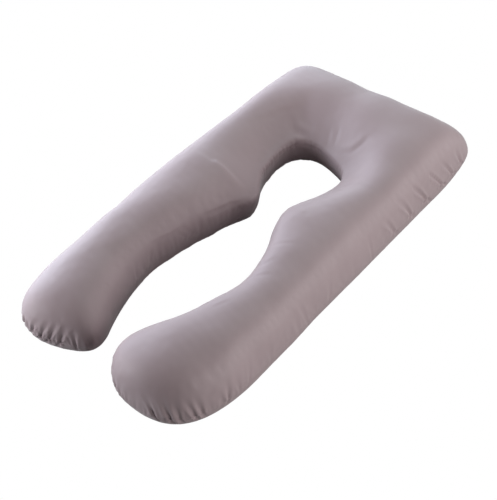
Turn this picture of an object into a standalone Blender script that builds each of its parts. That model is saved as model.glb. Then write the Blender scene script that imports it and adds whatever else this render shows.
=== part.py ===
"""U-shaped body pillow: a top and a bottom panel sewn edge to edge and filled, lying on its back.

Origin: on the surface it lies on, under the middle. +Y points to the closed head end, +Z up. Metres.
"""

import math
from collections import namedtuple

import bpy
import numpy as np
from mathutils import Vector
from mathutils.geometry import delaunay_2d_cdt

# Overall sizes of the filled pillow
WIDTH = 0.70
LENGTH = 1.30
SEAM_HEIGHT = 0.070

# How full the cover is: rise of each panel above its seam, as a share of a tight membrane's rise
TOP_FULLNESS = 0.96
BOTTOM_FULLNESS = 1.05
HIGHEST_RISE = 0.35
CONTACT_BLEND = 0.010

# Spacing of the faceted cloth
SEAM_STEP = 0.022
PANEL_STEP = 0.028
RING_OFFSETS = (0.005, 0.016, 0.031)
CLEAR_OF_RINGS = 0.6
SPLINE_STEPS = 24

COVER_COLOUR = (0.42, 0.33, 0.35, 1.0)
COVER_ROUGHNESS = 0.75

# The seam, from the middle of the head end round the outside, the lobe and the opening.
# Half of it: the other half is its mirror image.
SeamPoint = namedtuple("SeamPoint", "place across along")
SEAM_TABLE = [
    SeamPoint("head edge, middle", 0.000, 0.630),
    SeamPoint("head edge, side", 0.140, 0.635),
    SeamPoint("head corner, back", 0.290, 0.645),
    SeamPoint("head corner, side", 0.320, 0.585),
    SeamPoint("side, shoulder", 0.330, 0.425),
    SeamPoint("side, upper leg", 0.340, 0.215),
    SeamPoint("side, middle", 0.345, -0.030),
    SeamPoint("side, lower leg", 0.350, -0.280),
    SeamPoint("side, lobe", 0.345, -0.470),
    SeamPoint("lobe, outer end", 0.310, -0.600),
    SeamPoint("lobe, tip", 0.205, -0.650),
    SeamPoint("lobe, inner end", 0.095, -0.620),
    SeamPoint("mouth", 0.040, -0.545),
    SeamPoint("opening, lower", 0.120, -0.350),
    SeamPoint("opening, belly", 0.140, -0.165),
    SeamPoint("opening, upper", 0.085, 0.010),
    SeamPoint("neck", 0.050, 0.080),
    SeamPoint("keyhole, lower", 0.100, 0.190),
    SeamPoint("keyhole, side", 0.110, 0.310),
    SeamPoint("keyhole, top", 0.000, 0.365),
]


def clear_scene():
    for leftover in list(bpy.data.objects):
        bpy.data.objects.remove(leftover, do_unlink=True)


def whole_seam():
    """The table's rows with their mirror images, as one closed loop, (n, 2)."""
    half = [(row.across, row.along) for row in SEAM_TABLE]
    other_half = [(-across, along) for across, along in reversed(half[1:-1])]
    return np.array(half + other_half)


def smooth_loop(corners):
    """A closed Catmull-Rom curve through the corners."""
    before = np.roll(corners, 1, axis=0)
    after = np.roll(corners, -1, axis=0)
    second = np.roll(corners, -2, axis=0)
    pieces = []
    for t in np.arange(SPLINE_STEPS) / SPLINE_STEPS:
        linear = (after - before) * t
        square = (2 * before - 5 * corners + 4 * after - second) * t**2
        cube = (3 * corners - before - 3 * after + second) * t**3
        pieces.append(corners + (linear + square + cube) / 2)
    return np.stack(pieces, axis=1).reshape(-1, 2)


def even_steps(loop, step):
    """The same closed loop, with points at even distances of about one step."""
    closed = np.vstack([loop, loop[:1]])
    lengths = np.linalg.norm(np.diff(closed, axis=0), axis=1)
    travelled = np.concatenate([[0.0], np.cumsum(lengths)])
    count = round(travelled[-1] / step)
    wanted = np.arange(count) * travelled[-1] / count
    across = np.interp(wanted, travelled, closed[:, 0])
    along = np.interp(wanted, travelled, closed[:, 1])
    return np.column_stack([across, along])


def fitted(loop):
    """The loop stretched to the pillow's width and length, and centred."""
    low = loop.min(axis=0)
    high = loop.max(axis=0)
    return (loop - (low + high) / 2) * (np.array([WIDTH, LENGTH]) / (high - low))


def inward_ring(loop, offset):
    """The loop moved sideways into the cloth. The loop runs clockwise, so the cloth is on its right."""
    tangents = np.roll(loop, -1, axis=0) - np.roll(loop, 1, axis=0)
    tangents /= np.linalg.norm(tangents, axis=1)[:, None]
    return loop + offset * np.column_stack([tangents[:, 1], -tangents[:, 0]])


def is_inside(points, loop):
    """True for each point that the closed loop goes round."""
    inside = np.zeros(len(points), dtype=bool)
    for start, end in zip(loop, np.roll(loop, -1, axis=0)):
        if start[1] == end[1]:
            continue
        between = (start[1] > points[:, 1]) != (end[1] > points[:, 1])
        share = (points[:, 1] - start[1]) / (end[1] - start[1])
        crosses = points[:, 0] < start[0] + share * (end[0] - start[0])
        inside ^= between & crosses
    return inside


def distance_to(points, others):
    gaps = points[:, None, :] - others[None, :, :]
    return np.linalg.norm(gaps, axis=2).min(axis=1)


def lattice(loop, step):
    """Points in staggered rows over the panel, mirrored about its middle line."""
    high = loop.max(axis=0)
    low = loop.min(axis=0)
    row_height = step * math.sqrt(3) / 2
    points = []
    for row in range(int((high[1] - low[1]) / row_height) + 1):
        start = 0.0 if row % 2 else step / 2
        for across in np.arange(start, high[0], step):
            points.append((across, low[1] + row * row_height))
            if across > 0:
                points.append((-across, low[1] + row * row_height))
    points = np.array(points)
    return points[is_inside(points, loop)]


def panel_points(seam):
    """The seam's points first, then rings beside it, then the middle of the panel."""
    groups = [seam]
    for offset in RING_OFFSETS:
        groups.append(inward_ring(seam, offset))
    middle = lattice(seam, PANEL_STEP)
    far = distance_to(middle, np.vstack(groups)) > PANEL_STEP * CLEAR_OF_RINGS
    groups.append(middle[far])
    return np.vstack(groups)


def panel_triangles(points, seam_count):
    """Triangles that fill the seam's loop, each anticlockwise from above."""
    outline = list(range(seam_count))
    result = delaunay_2d_cdt([Vector(point) for point in points], [], [outline], 1, 1e-6)
    corners = np.array([vertex[:] for vertex in result[0]])
    triangles = np.array(result[2])
    first = corners[triangles[:, 1]] - corners[triangles[:, 0]]
    second = corners[triangles[:, 2]] - corners[triangles[:, 0]]
    turned = first[:, 0] * second[:, 1] - first[:, 1] * second[:, 0] < 0
    triangles[turned] = triangles[turned][:, ::-1]
    return corners, triangles


def membrane_height(points, triangles, seam_count):
    """Height of a tight skin blown up over the panel: its Laplacian is -1, and it is 0 on the seam."""
    size = len(points)
    stiffness = np.zeros((size, size))
    load = np.zeros(size)
    for corner in range(3):
        here = triangles[:, corner]
        start = triangles[:, (corner + 1) % 3]
        end = triangles[:, (corner + 2) % 3]
        one_side = points[start] - points[here]
        other_side = points[end] - points[here]
        double_area = np.abs(one_side[:, 0] * other_side[:, 1] - one_side[:, 1] * other_side[:, 0])
        weight = (one_side * other_side).sum(axis=1) / double_area / 2
        np.add.at(stiffness, (start, end), -weight)
        np.add.at(stiffness, (end, start), -weight)
        np.add.at(stiffness, (start, start), weight)
        np.add.at(stiffness, (end, end), weight)
        np.add.at(load, here, double_area / 6)
    height = np.zeros(size)
    free = slice(seam_count, size)
    height[free] = np.linalg.solve(stiffness[free, free], load[free])
    return height


def panel_rise(height):
    """The round section that the filling gives: a strip of cloth rises as a part of a circle."""
    rise = np.sqrt(2 * np.maximum(height, 0))
    return HIGHEST_RISE * np.tanh(rise / HIGHEST_RISE)


def on_the_surface(height):
    """Heights under the surface become 0, with a short round blend at the edge of the contact."""
    blend = (height + CONTACT_BLEND) ** 2 / (4 * CONTACT_BLEND)
    return np.where(height > CONTACT_BLEND, height, np.where(height > -CONTACT_BLEND, blend, 0.0))


def fabric_material():
    material = bpy.data.materials.new("cover")
    material.use_nodes = True
    shader = material.node_tree.nodes["Principled BSDF"]
    shader.inputs["Base Color"].default_value = COVER_COLOUR
    shader.inputs["Roughness"].default_value = COVER_ROUGHNESS
    shader.inputs["Metallic"].default_value = 0.0
    return material


def make_pillow():
    seam = even_steps(fitted(smooth_loop(whole_seam())), SEAM_STEP)
    seam_count = len(seam)
    points, triangles = panel_triangles(panel_points(seam), seam_count)
    rise = panel_rise(membrane_height(points, triangles, seam_count))
    top_height = SEAM_HEIGHT + TOP_FULLNESS * rise
    bottom_height = on_the_surface(SEAM_HEIGHT - BOTTOM_FULLNESS * rise)
    bottom_height[:seam_count] = SEAM_HEIGHT

    # The two panels share the seam's points.
    top = np.column_stack([points, top_height])
    bottom = np.column_stack([points, bottom_height])[seam_count:]
    bottom_number = np.arange(len(points))
    bottom_number[seam_count:] += len(points) - seam_count
    faces = np.vstack([triangles, bottom_number[triangles][:, ::-1]])

    mesh = bpy.data.meshes.new("pillow")
    mesh.from_pydata(np.vstack([top, bottom]).tolist(), [], faces.tolist())
    mesh.update()
    mesh.shade_smooth()
    mesh.materials.append(fabric_material())
    pillow = bpy.data.objects.new("pillow", mesh)
    bpy.context.scene.collection.objects.link(pillow)
    return pillow


clear_scene()
make_pillow()
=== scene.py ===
import math
from collections import namedtuple

import bpy
import numpy as np
from mathutils import Matrix, Vector
from mathutils.geometry import delaunay_2d_cdt
from mathutils.kdtree import KDTree


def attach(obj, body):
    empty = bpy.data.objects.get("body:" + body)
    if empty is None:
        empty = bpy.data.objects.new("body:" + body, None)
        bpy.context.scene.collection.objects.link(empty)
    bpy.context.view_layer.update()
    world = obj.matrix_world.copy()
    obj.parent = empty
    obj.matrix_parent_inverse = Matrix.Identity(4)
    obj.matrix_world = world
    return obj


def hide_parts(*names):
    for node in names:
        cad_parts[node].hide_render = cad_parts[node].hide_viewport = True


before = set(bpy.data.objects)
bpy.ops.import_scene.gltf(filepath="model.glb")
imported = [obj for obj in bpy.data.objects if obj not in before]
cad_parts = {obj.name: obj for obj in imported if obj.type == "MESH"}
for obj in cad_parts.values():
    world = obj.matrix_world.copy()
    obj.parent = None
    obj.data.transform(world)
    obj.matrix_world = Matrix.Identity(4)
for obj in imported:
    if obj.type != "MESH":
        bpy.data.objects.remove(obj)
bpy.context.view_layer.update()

# where the seam runs, from the middle of the head end round each leg to the top of the keyhole, metres
seamRow = namedtuple("seamRow", "place rightAcross rightAlong leftAcross leftAlong")
seamRows = [
    seamRow("head edge, middle", 0.015, 0.632, 0.015, 0.632),
    seamRow("head edge, side", 0.148, 0.646, -0.136, 0.624),
    seamRow("head corner, back", 0.289, 0.666, -0.293, 0.630),
    seamRow("head corner, side", 0.323, 0.569, -0.315, 0.597),
    seamRow("side, shoulder", 0.330, 0.424, -0.332, 0.422),
    seamRow("side, upper leg", 0.339, 0.225, -0.339, 0.209),
    seamRow("side, middle", 0.348, -0.040, -0.348, -0.024),
    seamRow("side, lower leg", 0.362, -0.297, -0.344, -0.263),
    seamRow("side, lobe", 0.358, -0.474, -0.338, -0.470),
    seamRow("lobe, outer end", 0.311, -0.591, -0.309, -0.611),
    seamRow("lobe, tip", 0.202, -0.645, -0.222, -0.649),
    seamRow("lobe, inner end", 0.071, -0.622, -0.113, -0.619),
    seamRow("mouth", 0.027, -0.522, -0.053, -0.557),
    seamRow("opening, lower", 0.117, -0.347, -0.127, -0.351),
    seamRow("opening, belly", 0.150, -0.149, -0.127, -0.179),
    seamRow("opening, upper", 0.082, 0.022, -0.075, 0.007),
    seamRow("neck", 0.061, 0.092, -0.046, 0.090),
    seamRow("keyhole, lower", 0.099, 0.188, -0.101, 0.188),
    seamRow("keyhole, side", 0.106, 0.303, -0.110, 0.318),
    seamRow("keyhole, top", -0.030, 0.357, -0.030, 0.357),
]

pillow = {
    "seamHeight": 0.066,
    "topFullness": 1.27,       # rise of each panel, as a share of a tight skin's
    "bottomFullness": 1.12,
    "highestRise": 0.128,       # a lower value gives flatter tops
    "contactBlend": 0.010,
    "sideRadius": 0.100,       # of the round sides, which sets the rings' spacing
    "topStep": 0.0125,
    "bottomStep": 0.024,
    "ringStep": 0.0080,
    "topRings": 7,
    "bottomRings": 5,
    "ringKept": 0.93,          # a ring's point goes where another part of the seam is nearer than this share
    "clearOfRings": 0.62,      # of a step, between the rings and the rows in the middle
    "lowestTurn": -0.3,        # cosine at which the side counts as the crown
    "seamFineStep": 0.002,
    "liftReach": 0.050,        # how far up and down the side the seam's lift is felt
    "lipReach": 0.010,
    "fallReach": 0.100,
}


def smoothLoop(corners, steps=24):
    # closed curve through the corners
    before = np.roll(corners, 1, axis=0)
    after = np.roll(corners, -1, axis=0)
    second = np.roll(corners, -2, axis=0)
    pieces = []
    for t in np.arange(steps) / steps:
        linear = (after - before) * t
        square = (2 * before - 5 * corners + 4 * after - second) * t**2
        cube = (3 * corners - before - 3 * after + second) * t**3
        pieces.append(corners + (linear + square + cube) / 2)
    return np.stack(pieces, axis=1).reshape(-1, 2)


def evenLoop(loop, step):
    closed = np.vstack([loop, loop[:1]])
    travelled = np.concatenate([[0.0], np.cumsum(np.linalg.norm(np.diff(closed, axis=0), axis=1))])
    count = round(travelled[-1] / step)
    wanted = np.arange(count) * travelled[-1] / count
    return np.column_stack([np.interp(wanted, travelled, closed[:, k]) for k in (0, 1)])


def seamLoop(step):
    right = [(row.rightAcross, row.rightAlong) for row in seamRows]
    left = [(row.leftAcross, row.leftAlong) for row in reversed(seamRows[1:-1])]
    return evenLoop(smoothLoop(np.array(right + left)), step)


def inwardRing(loop, offset):
    # the loop runs clockwise, so the cloth is on its right
    along = np.roll(loop, -1, axis=0) - np.roll(loop, 1, axis=0)
    along /= np.linalg.norm(along, axis=1)[:, None]
    return loop + offset * np.column_stack([along[:, 1], -along[:, 0]])


def insideLoop(points, loop):
    inside = np.zeros(len(points), dtype=bool)
    for start, end in zip(loop, np.roll(loop, -1, axis=0)):
        if start[1] == end[1]:
            continue
        between = (start[1] > points[:, 1]) != (end[1] > points[:, 1])
        share = (points[:, 1] - start[1]) / (end[1] - start[1])
        inside ^= between & (points[:, 0] < start[0] + share * (end[0] - start[0]))
    return inside


def treeOf(points):
    tree = KDTree(len(points))
    for number, point in enumerate(points):
        tree.insert((*point, 0.0)[:3], number)
    tree.balance()
    return tree


def nearest(points, tree):
    found = [tree.find((*point, 0.0)[:3]) for point in points]
    return np.array([hit[1] for hit in found]), np.array([hit[2] for hit in found])


def panelPoints(seam, rings, step):
    # seam first, then rings that stand evenly up the round side, then staggered rows
    seamTree = treeOf(seam)
    groups = [seam]
    for ring in range(1, rings + 1):
        turn = ring * pillow["ringStep"] / pillow["sideRadius"]
        offset = pillow["sideRadius"] * (1 - math.cos(turn))
        points = inwardRing(seam, offset)
        groups.append(points[nearest(points, seamTree)[1] > offset * pillow["ringKept"]])
    low, high = seam.min(axis=0), seam.max(axis=0)
    rows = np.arange(low[1], high[1], step * math.sqrt(3) / 2)
    middle = [
        (across + step / 2 * (number % 2), along)
        for number, along in enumerate(rows)
        for across in np.arange(low[0], high[0], step)
    ]
    middle = np.array(middle)
    middle = middle[insideLoop(middle, seam)]
    far = nearest(middle, treeOf(np.vstack(groups)))[1] > step * pillow["clearOfRings"]
    groups.append(middle[far])
    return np.vstack(groups)


def panelTriangles(points, seamCount):
    result = delaunay_2d_cdt([Vector(p) for p in points], [], [list(range(seamCount))], 1, 1e-7)
    corners = np.array([vertex[:] for vertex in result[0]])
    triangles = np.array(result[2])
    first = corners[triangles[:, 1]] - corners[triangles[:, 0]]
    second = corners[triangles[:, 2]] - corners[triangles[:, 0]]
    turned = first[:, 0] * second[:, 1] - first[:, 1] * second[:, 0] < 0
    triangles[turned] = triangles[turned][:, ::-1]
    return corners, triangles


def membraneHeight(points, triangles, seamCount):
    # a tight skin blown up over the panel, held at 0 on the seam, by conjugate gradients
    size = len(points)
    diagonal, load = np.zeros(size), np.zeros(size)
    starts, ends, weights = [], [], []
    for corner in range(3):
        here, start, end = (triangles[:, (corner + k) % 3] for k in range(3))
        one, other = points[start] - points[here], points[end] - points[here]
        doubleArea = np.maximum(np.abs(one[:, 0] * other[:, 1] - one[:, 1] * other[:, 0]), 1e-12)
        weight = (one * other).sum(axis=1) / doubleArea / 2
        starts += [start, end]
        ends += [end, start]
        weights += [weight, weight]
        diagonal += np.bincount(start, weight, size) + np.bincount(end, weight, size)
        load += np.bincount(here, doubleArea / 6, size)
    starts, ends, weights = (np.concatenate(part) for part in (starts, ends, weights))
    free = np.arange(size) >= seamCount

    def stiffnessTimes(values):
        return (diagonal * values - np.bincount(starts, weights * values[ends], size)) * free

    height = np.zeros(size)
    residual = load * free
    scaled = residual / diagonal
    direction = scaled.copy()
    strength = residual @ scaled
    goal = strength * 1e-12
    while strength > goal:
        product = stiffnessTimes(direction)
        step = strength / (direction @ product)
        height += step * direction
        residual -= step * product
        scaled = residual / diagonal
        direction = scaled + direction * ((residual @ scaled) / strength)
        strength = residual @ scaled
    return height


def panelRise(points, triangles, seamCount):
    rise = np.sqrt(2 * np.maximum(membraneHeight(points, triangles, seamCount), 0))
    return pillow["highestRise"] * np.tanh(rise / pillow["highestRise"])


def onTheSurface(height):
    # cloth that would go under the surface lies on it, with a short round edge
    edge = pillow["contactBlend"]
    blend = (height + edge) ** 2 / (4 * edge)
    pressed = np.where(height > -edge, blend, 0.0)
    return np.where(height > edge, height, pressed)


def topHeightOf(points, triangles, seam):
    # the top is lower near the stretches of seam that have a fall
    fall = seamValues(seam, "fall")
    falling = fall > 0
    number, gap = nearest(points, treeOf(seam[falling]))
    kept = 1 - fall[falling][number] * np.exp(-((gap / pillow["fallReach"]) ** 2))
    return pillow["seamHeight"] + pillow["topFullness"] * kept * panelRise(points, triangles, len(seam))


def bottomHeightOf(points, triangles, seam):
    rise = panelRise(points, triangles, len(seam))
    return onTheSurface(pillow["seamHeight"] - pillow["bottomFullness"] * rise)


def panel(seam, rings, step):
    return panelTriangles(panelPoints(seam, rings, step), len(seam))


def sewnMesh():
    seam = seamLoop(pillow["ringStep"])
    seamCount = len(seam)
    topPoints, topFaces = panel(seam, pillow["topRings"], pillow["topStep"])
    lowPoints, lowFaces = panel(seam, pillow["bottomRings"], pillow["bottomStep"])
    top = np.column_stack([topPoints, topHeightOf(topPoints, topFaces, seam)])
    low = np.column_stack([lowPoints, bottomHeightOf(lowPoints, lowFaces, seam)])[seamCount:]
    lowNumber = np.arange(len(lowPoints))
    lowNumber[seamCount:] += len(topPoints) - seamCount
    faces = np.vstack([topFaces, lowNumber[lowFaces][:, ::-1]])
    mesh = bpy.data.meshes.new("pillowCover")
    mesh.from_pydata(np.vstack([top, low]).tolist(), [], faces.tolist())
    mesh.update()
    mesh.shade_smooth()
    return mesh


def coordinatesOf(mesh):
    flat = np.empty(len(mesh.vertices) * 3)
    mesh.vertices.foreach_get("co", flat)
    return flat.reshape(-1, 3)


def normalsOf(mesh):
    flat = np.empty(len(mesh.vertices) * 3)
    mesh.vertex_normals.foreach_get("vector", flat)
    return flat.reshape(-1, 3)


def setCoordinates(mesh, coordinates):
    mesh.vertices.foreach_set("co", coordinates.ravel())
    mesh.update()


def subdivided(piece):
    modifier = piece.modifiers.new("finer", "SUBSURF")
    modifier.levels = modifier.render_levels = 1
    graph = bpy.context.evaluated_depsgraph_get()
    finer = bpy.data.meshes.new_from_object(piece.evaluated_get(graph))
    piece.modifiers.clear()
    piece.data = finer
    finer.shade_smooth()


# clockwise round the seam: how far it is lifted up the side, how far it stands out, and the share of its
# rise that the top loses near it
seamLine = namedtuple("seamLine", "place across along lift lip fall")
seamLines = [
    seamLine("head edge", 0.015, 0.632, 0.000, 0.001, 0.00),
    seamLine("right head corner", 0.320, 0.600, -0.016, 0.002, 0.00),
    seamLine("right side", 0.345, 0.000, -0.016, 0.001, 0.00),
    seamLine("right lobe, outer", 0.345, -0.530, -0.022, 0.002, 0.00),
    seamLine("right lobe, tip", 0.200, -0.645, -0.020, 0.002, 0.00),
    seamLine("right mouth", 0.022, -0.533, -0.004, 0.001, 0.00),
    seamLine("right belly", 0.150, -0.149, -0.010, 0.001, 0.00),
    seamLine("right neck", 0.057, 0.082, -0.006, 0.000, 0.00),
    seamLine("right keyhole", 0.110, 0.280, 0.022, 0.002, 0.42),
    seamLine("keyhole top", -0.030, 0.363, 0.032, 0.003, 0.46),
    seamLine("left keyhole", -0.112, 0.290, 0.034, 0.003, 0.48),
    seamLine("left neck", -0.050, 0.089, 0.026, 0.002, 0.30),
    seamLine("left belly", -0.120, -0.090, 0.010, 0.001, 0.00),
    seamLine("left opening, lower", -0.127, -0.351, 0.000, 0.001, 0.00),
    seamLine("left mouth", -0.058, -0.557, -0.002, 0.001, 0.00),
    seamLine("left lobe, tip", -0.222, -0.649, -0.004, 0.002, 0.00),
    seamLine("left lobe, outer", -0.335, -0.530, 0.000, 0.002, 0.00),
    seamLine("left side", -0.345, 0.000, 0.000, 0.001, 0.00),
    seamLine("left head corner", -0.315, 0.597, 0.000, 0.001, 0.00),
]

# single gathers on the seam: where, how deep, half as wide, how far they run, and their slant
gather = namedtuple("gather", "across along depth width reach slant")
gathers = [
    gather(0.318, 0.602, 0.0050, 0.0050, 0.030, 0.4),
    gather(0.325, 0.552, 0.0060, 0.0050, 0.034, 0.9),
    gather(0.328, 0.499, 0.0060, 0.0050, 0.045, 1.1),
    gather(0.330, 0.421, 0.0045, 0.0060, 0.050, 0.9),
    gather(0.334, 0.344, 0.0040, 0.0060, 0.045, 0.7),
    gather(0.337, 0.262, 0.0030, 0.0060, 0.040, 0.7),
    gather(0.359, -0.470, 0.0045, 0.0050, 0.026, -0.2),
    gather(0.338, -0.546, 0.0050, 0.0050, 0.026, 0.2),
    gather(0.328, -0.566, 0.0060, 0.0050, 0.030, 0.3),
    gather(0.305, -0.597, 0.0050, 0.0055, 0.032, 0.2),
    gather(0.284, -0.612, 0.0060, 0.0060, 0.036, 0.3),
    gather(0.248, -0.632, 0.0050, 0.0050, 0.030, 0.5),
    gather(0.104, -0.638, 0.0045, 0.0045, 0.022, 0.3),
    gather(0.072, -0.625, 0.0045, 0.0045, 0.022, 0.2),
    gather(0.039, -0.597, 0.0055, 0.0050, 0.028, -0.2),
    gather(0.021, -0.550, 0.0055, 0.0050, 0.034, -0.7),
    gather(-0.063, -0.583, 0.0040, 0.0055, 0.034, 0.0),
    gather(-0.092, -0.606, 0.0050, 0.0050, 0.036, 0.0),
    gather(-0.138, -0.628, 0.0055, 0.0055, 0.036, -0.5),
    gather(-0.172, -0.640, 0.0065, 0.0050, 0.036, -0.6),
    gather(-0.198, -0.647, 0.0065, 0.0045, 0.032, -0.6),
    gather(-0.229, -0.648, 0.0060, 0.0045, 0.030, -0.5),
    gather(-0.271, -0.640, 0.0055, 0.0045, 0.026, -0.4),
    gather(-0.304, -0.617, 0.0050, 0.0045, 0.022, -0.2),
]

# stretches of seam with many small uneven gathers, clockwise
gatherRun = namedtuple("gatherRun", "place start end pitch depth width reach slant")
gatherRuns = [
    gatherRun("head edge", (0.015, 0.632), (0.289, 0.666), 0.045, 0.0016, 0.007, 0.030, 0.5),
    gatherRun("right side", (0.335, 0.260), (0.358, -0.430), 0.060, 0.0012, 0.007, 0.040, 0.6),
    gatherRun("right lobe", (0.358, -0.430), (0.030, -0.580), 0.022, 0.0022, 0.004, 0.020, 0.3),
    gatherRun("right opening", (0.030, -0.500), (0.150, -0.060), 0.050, 0.0014, 0.006, 0.040, 0.9),
    gatherRun("keyhole, right", (0.080, 0.140), (0.060, 0.350), 0.020, 0.0012, 0.004, 0.030, 0.3),
    gatherRun("keyhole, left", (-0.030, 0.363), (-0.060, 0.110), 0.012, 0.0018, 0.0032, 0.016, 0.2),
    gatherRun("left opening", (-0.055, 0.070), (-0.127, -0.351), 0.030, 0.0012, 0.006, 0.030, 0.9),
    gatherRun("left lobe", (-0.058, -0.557), (-0.335, -0.530), 0.020, 0.0024, 0.004, 0.020, 0.3),
    gatherRun("left side", (-0.338, -0.470), (-0.333, 0.380), 0.045, 0.0016, 0.007, 0.050, 0.8),
    gatherRun("left head corner", (-0.333, 0.400), (-0.136, 0.624), 0.040, 0.0016, 0.007, 0.040, 0.4),
]

# soft folds on the top: the line they follow, depth, half width, and how much one side stands up as a lip
fold = namedtuple("fold", "name line depth width lip")
folds = [
    fold(
        "head fold",
        [(-0.165, 0.372), (-0.126, 0.352), (-0.086, 0.358), (-0.041, 0.362), (0.036, 0.352)],
        0.0028, 0.013, 0.9,
    ),
    fold("head hollow", [(-0.150, 0.470), (-0.135, 0.410), (-0.095, 0.374)], 0.0028, 0.028, 0.3),
    fold("head ray one", [(-0.092, 0.400), (-0.067, 0.366)], 0.0010, 0.008, 0.4),
    fold("head ray two", [(-0.030, 0.410), (0.000, 0.368)], 0.0010, 0.008, 0.4),
    fold("head ray three", [(-0.002, 0.430), (0.020, 0.370)], 0.0010, 0.008, 0.5),
    fold(
        "head ray four",
        [(0.052, 0.362), (0.092, 0.372), (0.108, 0.400), (0.114, 0.432)],
        0.0017, 0.010, 0.8,
    ),
    fold(
        "corner ridge",
        [(-0.150, 0.412), (-0.165, 0.390), (-0.183, 0.370), (-0.192, 0.338), (-0.210, 0.300)],
        0.0010, 0.009, -0.7,
    ),
    fold("corner tick", [(-0.190, 0.300), (-0.174, 0.290)], 0.0007, 0.005, 0.4),
    fold("left inner one", [(-0.104, -0.065), (-0.089, -0.023), (-0.074, 0.020)], 0.0010, 0.006, 0.6),
    fold("left inner two", [(-0.095, -0.036), (-0.077, 0.016), (-0.055, 0.062)], 0.0010, 0.006, 0.6),
    fold("left inner three", [(-0.140, -0.215), (-0.131, -0.173), (-0.124, -0.135)], 0.0007, 0.006, 0.5),
    fold("right inner one", [(0.165, -0.060), (0.197, -0.043), (0.222, -0.030)], 0.0009, 0.006, 0.6),
    fold("right inner two", [(0.176, -0.148), (0.198, -0.126), (0.214, -0.100)], 0.0009, 0.006, 0.6),
    fold("right inner three", [(0.195, -0.186), (0.242, -0.152)], 0.0009, 0.006, 0.6),
    fold("right inner four", [(0.178, -0.205), (0.200, -0.165)], 0.0009, 0.006, 0.6),
    fold("right inner five", [(0.198, -0.338), (0.220, -0.285)], 0.0009, 0.006, 0.6),
]

unevenness = {
    "seed": 7,
    "fillingSize": 0.16,       # lumps of the filling
    "fillingDepth": 0.0012,
    "clothSize": 0.035,        # slack of the cloth between them
    "clothDepth": 0.00012,
    "waves": 40,
    "sizeSpread": (0.6, 1.4),
    "restingHeight": 0.004,    # cloth this low is pressed flat, and keeps still
    "restingBlend": 0.03,
}


gatherShape = {
    "farthest": 0.05,          # along the seam, past which a gather isn't felt
    "reachesFelt": 2.2,
    "widthAtSeam": 0.7,
    "widthGrowth": 0.8,
    "riseDepth": 0.5,          # the soft rise beside the pinch, as shares of its depth and width
    "riseAt": 1.8,
    "riseWidth": 0.8,
    "reachBelow": 0.6,
}

gatherSpread = {
    "size": (0.3, 1.0),
    "width": (0.7, 1.3),
    "reach": (0.6, 1.5),
    "slant": (-1, 1),
    "pitch": (0.5, 1.5),
}

foldShape = {
    "lineStep": 0.002,
    "easings": 6,
    "widthsFelt": 4,
    "lowestShare": 0.9,        # of the seam's height, below which a fold isn't felt
    "lipAt": 1.7,
    "lipWidth": 1.1,
    "endPower": 0.6,
}


def seamPlaces(coordinates, seam):
    # how far along the seam each point lies, and how far up its side (down is negative)
    number, gap = nearest(coordinates[:, :2], treeOf(seam))
    share = np.clip(1 - gap / pillow["sideRadius"], pillow["lowestTurn"], 1)
    upward = np.where(coordinates[:, 2] >= pillow["seamHeight"], 1, -1)
    return number, pillow["sideRadius"] * np.arccos(share) * upward


def seamValues(seam, column):
    # one column of the seam lines' table, eased from row to row, at every point of the seam
    corners = np.array([(row.across, row.along) for row in seamLines])
    at = nearest(corners, treeOf(seam))[0]
    order = np.argsort(at)
    values = np.array([getattr(row, column) for row in seamLines])[order]
    return np.interp(np.arange(len(seam)), at[order], values, period=len(seam))


def allGathers(seam):
    # the single gathers, and the runs worked out from their pitch: numbers along the seam
    random = np.random.default_rng(unevenness["seed"])
    seamTree = treeOf(seam)
    step = pillow["seamFineStep"]
    rows = [(seamTree.find((row.across, row.along, 0))[1], *row[2:]) for row in gathers]
    for run in gatherRuns:
        start, end = (seamTree.find((*place, 0))[1] for place in (run.start, run.end))
        place = start
        while place < end:
            rows.append((
                place,
                run.depth * random.uniform(*gatherSpread["size"]),
                run.width * random.uniform(*gatherSpread["width"]),
                run.reach * random.uniform(*gatherSpread["reach"]),
                run.slant * random.uniform(*gatherSpread["slant"]),
            ))
            place += run.pitch * random.uniform(*gatherSpread["pitch"]) / step
    return rows


def gatherPush(number, upSide, seam):
    # a pinched line with a soft rise on both sides, widest away from the seam
    push = np.zeros(len(number))
    step = pillow["seamFineStep"]
    for at, depth, width, reach, slant in allGathers(seam):
        across = (number - at + len(seam) / 2) % len(seam) - len(seam) / 2
        beside = np.abs(across) * step < gatherShape["farthest"]
        close = beside & (np.abs(upSide) < reach * gatherShape["reachesFelt"])
        up = np.abs(upSide[close])
        offset = across[close] * step - slant * upSide[close]
        share = offset / (width * (gatherShape["widthAtSeam"] + gatherShape["widthGrowth"] * up / reach))
        fromRise = (np.abs(share) - gatherShape["riseAt"]) / gatherShape["riseWidth"]
        pinch = gatherShape["riseDepth"] * np.exp(-fromRise**2) - np.exp(-share**2)
        below = np.where(upSide[close] < 0, gatherShape["reachBelow"], 1.0)
        push[close] += depth * pinch * np.exp(-((up / (reach * below)) ** 2))
    return push


def foldLine(row):
    # even points along the fold, with its corners eased
    corners = np.array(row.line)
    spacing = np.linalg.norm(np.diff(corners, axis=0), axis=1)
    travelled = np.concatenate([[0], np.cumsum(spacing)])
    steps = np.linspace(0, travelled[-1], max(int(travelled[-1] / foldShape["lineStep"]), 4))
    line = np.column_stack([np.interp(steps, travelled, corners[:, k]) for k in (0, 1)])
    for _ in range(foldShape["easings"]):
        line[1:-1] = (line[:-2] + 2 * line[1:-1] + line[2:]) / 4
    return line


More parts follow.
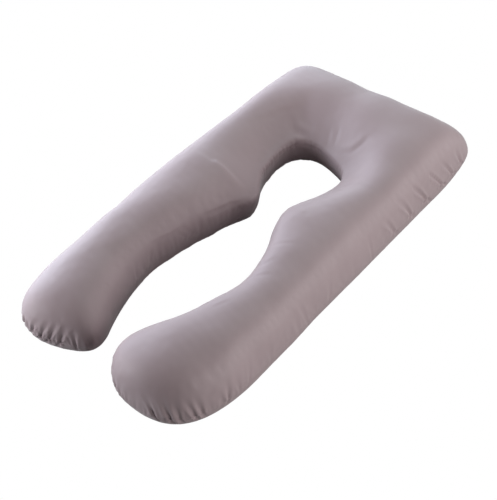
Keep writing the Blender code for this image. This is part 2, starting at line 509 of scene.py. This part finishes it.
def foldPush(coordinates, row):
    # a valley along the line, and a lip on its left
    line = foldLine(row)
    reach = foldShape["widthsFelt"] * row.width
    low, high = line.min(axis=0) - reach, line.max(axis=0) + reach
    inBox = ((coordinates[:, :2] > low) & (coordinates[:, :2] < high)).all(axis=1)
    onTop = coordinates[:, 2] > pillow["seamHeight"] * foldShape["lowestShare"]
    close = np.flatnonzero(inBox & onTop)
    points = coordinates[close]
    under = nearest(line, treeOf(points[:, :2]))[0]
    number, gap = nearest(points, treeOf(np.column_stack([line, points[under, 2]])))
    ahead = np.gradient(line, axis=0)[number]
    toPoint = points[:, :2] - line[number]
    onLeft = np.sign(ahead[:, 0] * toPoint[:, 1] - ahead[:, 1] * toPoint[:, 0])
    share = gap * onLeft / row.width
    ends = np.sin(np.pi * np.clip((number + 0.5) / len(line), 0, 1)) ** foldShape["endPower"]
    fromLip = (share - foldShape["lipAt"] * np.sign(row.lip)) / foldShape["lipWidth"]
    profile = abs(row.lip) * np.exp(-fromLip**2) - np.exp(-share**2)
    push = np.zeros(len(coordinates))
    push[close] = row.depth * profile * ends
    return push


def softNoise(points, size, seed):
    # even random swell, about -1 to 1
    random = np.random.default_rng(seed)
    count = unevenness["waves"]
    waves = random.normal(size=(count, 3))
    turns = 2 * math.pi / size * random.uniform(*unevenness["sizeSpread"], count)
    waves *= (turns / np.linalg.norm(waves, axis=1))[:, None]
    starts = random.uniform(0, 2 * math.pi, count)
    return np.cos(points @ waves.T + starts).sum(axis=1) / math.sqrt(count / 2)


def shapeCloth(piece):
    # seam, gathers, folds and unevenness, as moves of the finished cloth
    mesh = piece.data
    seam = seamLoop(pillow["seamFineStep"])
    coordinates = coordinatesOf(mesh)
    number, upSide = seamPlaces(coordinates, seam)
    felt = np.exp(-((upSide / pillow["liftReach"]) ** 2))
    coordinates[:, 2] += seamValues(seam, "lift")[number] * felt
    setCoordinates(mesh, coordinates)

    normals = normalsOf(mesh)
    push = seamValues(seam, "lip")[number] * np.exp(-np.abs(upSide) / pillow["lipReach"])
    push += gatherPush(number, upSide, seam)
    for row in folds:
        push += foldPush(coordinates, row)
    free = np.clip((coordinates[:, 2] - unevenness["restingHeight"]) / unevenness["restingBlend"], 0, 1)
    lumps = softNoise(coordinates, unevenness["fillingSize"], unevenness["seed"])
    slack = softNoise(coordinates, unevenness["clothSize"], unevenness["seed"] + 1)
    push += unevenness["fillingDepth"] * lumps + unevenness["clothDepth"] * slack
    moved = coordinates + normals * (push * free)[:, None]
    moved[:, 2] = np.maximum(moved[:, 2], 0)
    setCoordinates(mesh, moved)


cloth = {
    "colour": (0.36, 0.262, 0.275, 1),
    "roughness": 0.6,
    "sheen": 0.25,
}


def clothMaterial():
    material = bpy.data.materials.new("sateenCover")
    material.use_nodes = True
    shader = material.node_tree.nodes["Principled BSDF"]
    shader.inputs["Base Color"].default_value = cloth["colour"]
    shader.inputs["Roughness"].default_value = cloth["roughness"]
    shader.inputs["Sheen Weight"].default_value = cloth["sheen"]
    return material


def makePillow():
    piece = bpy.data.objects.new("pillowCover", sewnMesh())
    bpy.context.scene.collection.objects.link(piece)
    subdivided(piece)
    print("cover sewn and filled")
    shapeCloth(piece)
    print("folds and gathers done")
    piece.data.materials.append(clothMaterial())
    print("pillow:", len(piece.data.vertices), "points,", len(piece.data.loop_triangles), "triangles")
    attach(piece, "root")
    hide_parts("pillow")
    return piece


studio = {
    "floorSize": 14.0,
    "floorDrop": 0.0005,       # under the pillow, so that the two don't share a plane
    "floorColour": (0.35, 0.35, 0.35, 1),
    "floorRoughness": 0.9,
    "white": (1, 1, 1, 1),
    "backdrop": 1.0,           # what the camera sees past the pillow
    "ambient": 0.05,
    "lampAim": (0, 0, 0.1),
}


def glowToCamera(nodes, links, otherShader):
    # the camera sees an even pale ground, the light only a plain surface
    isBackground = otherShader.bl_idname == "ShaderNodeBackground"
    glow = nodes.new("ShaderNodeBackground" if isBackground else "ShaderNodeEmission")
    glow.inputs["Color"].default_value = studio["white"]
    glow.inputs["Strength"].default_value = studio["backdrop"]
    rays = nodes.new("ShaderNodeLightPath")
    mix = nodes.new("ShaderNodeMixShader")
    links.new(rays.outputs["Is Camera Ray"], mix.inputs["Fac"])
    links.new(otherShader.outputs[0], mix.inputs[1])
    links.new(glow.outputs[0], mix.inputs[2])
    return mix


def makeFloor():
    half = studio["floorSize"] / 2
    mesh = bpy.data.meshes.new("floor")
    corners = [(-half, -half, 0), (half, -half, 0), (half, half, 0), (-half, half, 0)]
    mesh.from_pydata(corners, [], [(0, 1, 2, 3)])
    floor = bpy.data.objects.new("floor", mesh)
    floor.location.z = -studio["floorDrop"]
    bpy.context.scene.collection.objects.link(floor)
    material = bpy.data.materials.new("paleFloor")
    material.use_nodes = True
    nodes, links = material.node_tree.nodes, material.node_tree.links
    shader = nodes["Principled BSDF"]
    shader.inputs["Base Color"].default_value = studio["floorColour"]
    shader.inputs["Roughness"].default_value = studio["floorRoughness"]
    mix = glowToCamera(nodes, links, shader)
    links.new(mix.outputs[0], nodes["Material Output"].inputs["Surface"])
    mesh.materials.append(material)


def makeWorld():
    world = bpy.data.worlds.new("studio")
    world.use_nodes = True
    bpy.context.scene.world = world
    nodes, links = world.node_tree.nodes, world.node_tree.links
    ambient = nodes["Background"]
    ambient.inputs["Color"].default_value = studio["white"]
    ambient.inputs["Strength"].default_value = studio["ambient"]
    mix = glowToCamera(nodes, links, ambient)
    links.new(mix.outputs[0], nodes["World Output"].inputs["Surface"])


# softboxes: place, size, power and colour
lamp = namedtuple("lamp", "name place width height watts colour")
lamps = [
    lamp("leftSoftbox", (-3.13, 0.00, 0.77), 1.8, 1.8, 109, (0.87, 1.0, 1.15)),
    lamp("frontLeftSoftbox", (-2.21, -2.21, 0.77), 1.8, 1.8, 82, (0.95, 1.0, 1.04)),
    lamp("backLeftSoftbox", (-2.21, 2.21, 0.77), 1.8, 1.8, 42, (0.88, 1.0, 1.10)),
    lamp("backRightSoftbox", (2.21, 2.21, 0.77), 1.8, 1.8, 35, (0.95, 1.0, 0.98)),
    lamp("rightSoftbox", (3.13, 0.00, 0.77), 1.8, 1.8, 51, (0.97, 1.0, 0.99)),
    lamp("topBackSoftbox", (0.00, 1.50, 2.93), 1.8, 1.8, 40, (0.89, 1.0, 1.0)),
]


def makeLamps():
    for row in lamps:
        light = bpy.data.lights.new(row.name, "AREA")
        light.shape = "RECTANGLE"
        light.size = row.width
        light.size_y = row.height
        light.energy = row.watts
        light.color = row.colour
        holder = bpy.data.objects.new(row.name, light)
        holder.location = row.place
        outward = Vector(row.place) - Vector(studio["lampAim"])
        holder.rotation_euler = outward.to_track_quat("Z", "Y").to_euler()
        bpy.context.scene.collection.objects.link(holder)


shot = {
    "azimuth": 49.5,
    "elevation": 47.4,
    "roll": -9.3,
    "distance": 4.105,
    "aim": (0.071, -0.070, 0.090),
    "lens": 103.3,
}


def makeCamera():
    azimuth, elevation, roll = (math.radians(shot[name]) for name in ("azimuth", "elevation", "roll"))
    back = Vector((
        math.sin(azimuth) * math.cos(elevation),
        -math.cos(azimuth) * math.cos(elevation),
        math.sin(elevation),
    ))
    right = Vector((math.cos(azimuth), math.sin(azimuth), 0))
    up = back.cross(right)
    turnedRight = right * math.cos(roll) + up * math.sin(roll)
    turnedUp = up * math.cos(roll) - right * math.sin(roll)
    place = Matrix((turnedRight, turnedUp, back)).transposed().to_4x4()
    place.translation = Vector(shot["aim"]) + back * shot["distance"]
    data = bpy.data.cameras.new("studioCamera")
    data.lens = shot["lens"]
    data.clip_end = 100
    camera = bpy.data.objects.new("studioCamera", data)
    camera.matrix_world = place
    bpy.context.scene.collection.objects.link(camera)
    bpy.context.scene.camera = camera


makeCamera()
print("camera ready")
makePillow()
makeFloor()
makeWorld()
makeLamps()
print("studio ready")
bpy.context.scene.view_settings.view_transform = "Standard"
